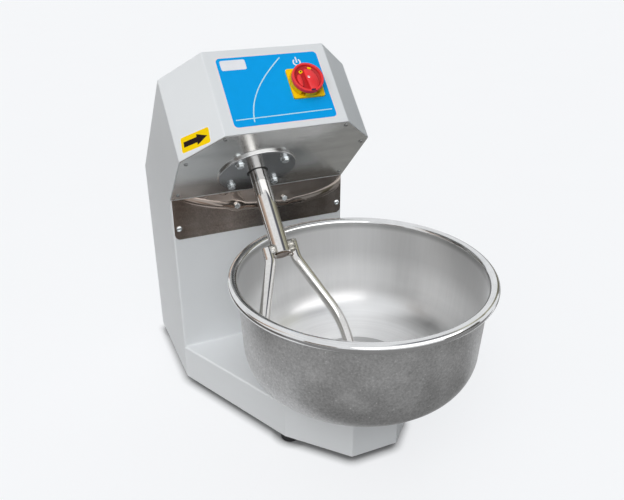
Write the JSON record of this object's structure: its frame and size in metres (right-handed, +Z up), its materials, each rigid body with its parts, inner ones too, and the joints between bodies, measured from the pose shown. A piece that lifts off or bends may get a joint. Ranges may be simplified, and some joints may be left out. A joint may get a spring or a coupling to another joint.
{
  "type": "dough mixer",
  "caption": "Table-top dough mixer: a slanted fork turns in a free-turning stainless bowl under a leaning sheet-metal head with a rotary main switch.",
  "frame": {"origin": "on the floor, under the middle of the whole outline", "axes": "+X to the right seen from the operator's side, +Y to the rear, +Z up"},
  "size_m": [0.5304, 0.8413, 0.7506],
  "materials": {
    "body_paint": "white powder coat, satin",
    "floor_plates": "grey primer, matt",
    "stainless": "spun stainless steel, bright",
    "under_plate": "cold-rolled stainless steel, bright",
    "mirror_plate": "stainless steel, mirror polished",
    "fork_steel": "stainless steel bar, ground",
    "weld": "weld bead, brushed",
    "flange_steel": "stainless steel, turned and polished",
    "bolt_steel": "stainless fasteners",
    "inner_bolts": "zinc-plated fasteners",
    "rubber": "black rubber",
    "seal": "black nitrile rubber",
    "switch_yellow": "yellow moulded plastic",
    "switch_red": "red moulded plastic",
    "switch_black": "black moulded plastic",
    "spindle_casting": "grey cast iron, painted",
    "bearing_steel": "ground bearing steel",
    "turned_steel": "turned steel",
    "drive_plates": "steel plate, grey primer",
    "gear_steel": "cut steel, oiled",
    "pulley_casting": "cast iron, machined groove",
    "belt": "black rubber with fabric",
    "motor_paint": "finned aluminium, grey paint",
    "motor_core": "laminated electrical steel",
    "black_plastic": "black moulded plastic"
  },
  "bodies": {
    "machine": {"base_plate": "floor_plates", "base_shell": "body_paint", "bearing_flange": "flange_steel", "body_shell": "body_paint", "cable_gland": "black_plastic", "column_plate": "floor_plates", "deck_bolts": "inner_bolts", "drive_plate": "drive_plates", "feet": "rubber", "flange_bolts": "bolt_steel", "flange_washers": "bolt_steel", "foot_bolts": "inner_bolts", "guard_bolts": "bolt_steel", "guard_screws": "bolt_steel", "housing_bolts": "inner_bolts", "layshaft_bearings": "bearing_steel", "lower_bearing": "bearing_steel", "lower_bearing_housing": "spindle_casting", "motor_bolts": "inner_bolts", "motor_fan_cover": "motor_paint", "motor_flange": "motor_paint", "motor_housing": "motor_paint", "motor_stator": "motor_core", "plate_pillars": "drive_plates", "rear_cover": "body_paint", "rear_cover_screws": "bolt_steel", "shaft_seal": "seal", "spindle_bearings": "bearing_steel", "spindle_housing": "spindle_casting", "splash_guard": "mirror_plate", "switch_body": "switch_black", "switch_collar": "switch_yellow", "switch_plate": "switch_yellow", "terminal_box": "black_plastic", "under_plate": "under_plate", "under_plate_screws": "bolt_steel", "upper_bearing": "bearing_steel", "upper_plate": "drive_plates", "v_belt": "belt"},
    "fork": {"fork_shaft": "fork_steel", "fork_left_rod": "fork_steel", "fork_right_rod": "fork_steel", "fork_welds": "weld", "fork_gear": "gear_steel", "shaft_nut": "inner_bolts"},
    "layshaft": {"layshaft": "turned_steel", "pinion": "gear_steel", "driven_pulley": "pulley_casting"},
    "motor_rotor": {"motor_shaft": "turned_steel", "motor_rotor": "motor_core", "motor_pulley": "pulley_casting", "motor_fan": "black_plastic"},
    "bowl": {"bowl": "stainless", "bowl_hub": "turned_steel", "spindle": "turned_steel", "spindle_nut": "inner_bolts"},
    "switch": {"switch_handle": "switch_red", "handle_screw": "bolt_steel", "switch_spindle": "switch_black"}
  },
  "joints": [
    {"name": "fork_spin", "type": "hinge", "parent": "machine", "child": "fork", "pos_m": [-0.09815, 0.0771, 0.51705], "axis": [0, -0.7071, -0.7071], "continuous": true},
    {"name": "layshaft_spin", "type": "hinge", "parent": "machine", "child": "layshaft", "pos_m": [-0.09815, 0.15665, 0.4375], "axis": [0, -0.7071, -0.7071], "continuous": true},
    {"name": "motor_spin", "type": "hinge", "parent": "machine", "child": "motor_rotor", "pos_m": [-0.09815, 0.25899, 0.33516], "axis": [0, -0.7071, -0.7071], "continuous": true},
    {"name": "bowl_spin", "type": "hinge", "parent": "machine", "child": "bowl", "pos_m": [0.01535, -0.17085, 0.165], "axis": [0, 0, 1], "continuous": true},
    {"name": "switch_turn", "type": "hinge", "parent": "machine", "child": "switch", "pos_m": [-0.01115, 0.03255, 0.69029], "axis": [0, -0.7071, 0.7071], "range_deg": [-90, 0]}
  ],
  "couplings": [
    {"joint": "layshaft_spin", "follows": "fork_spin", "ratio": -4},
    {"joint": "motor_spin", "follows": "fork_spin", "ratio": -10.167}
  ]
}
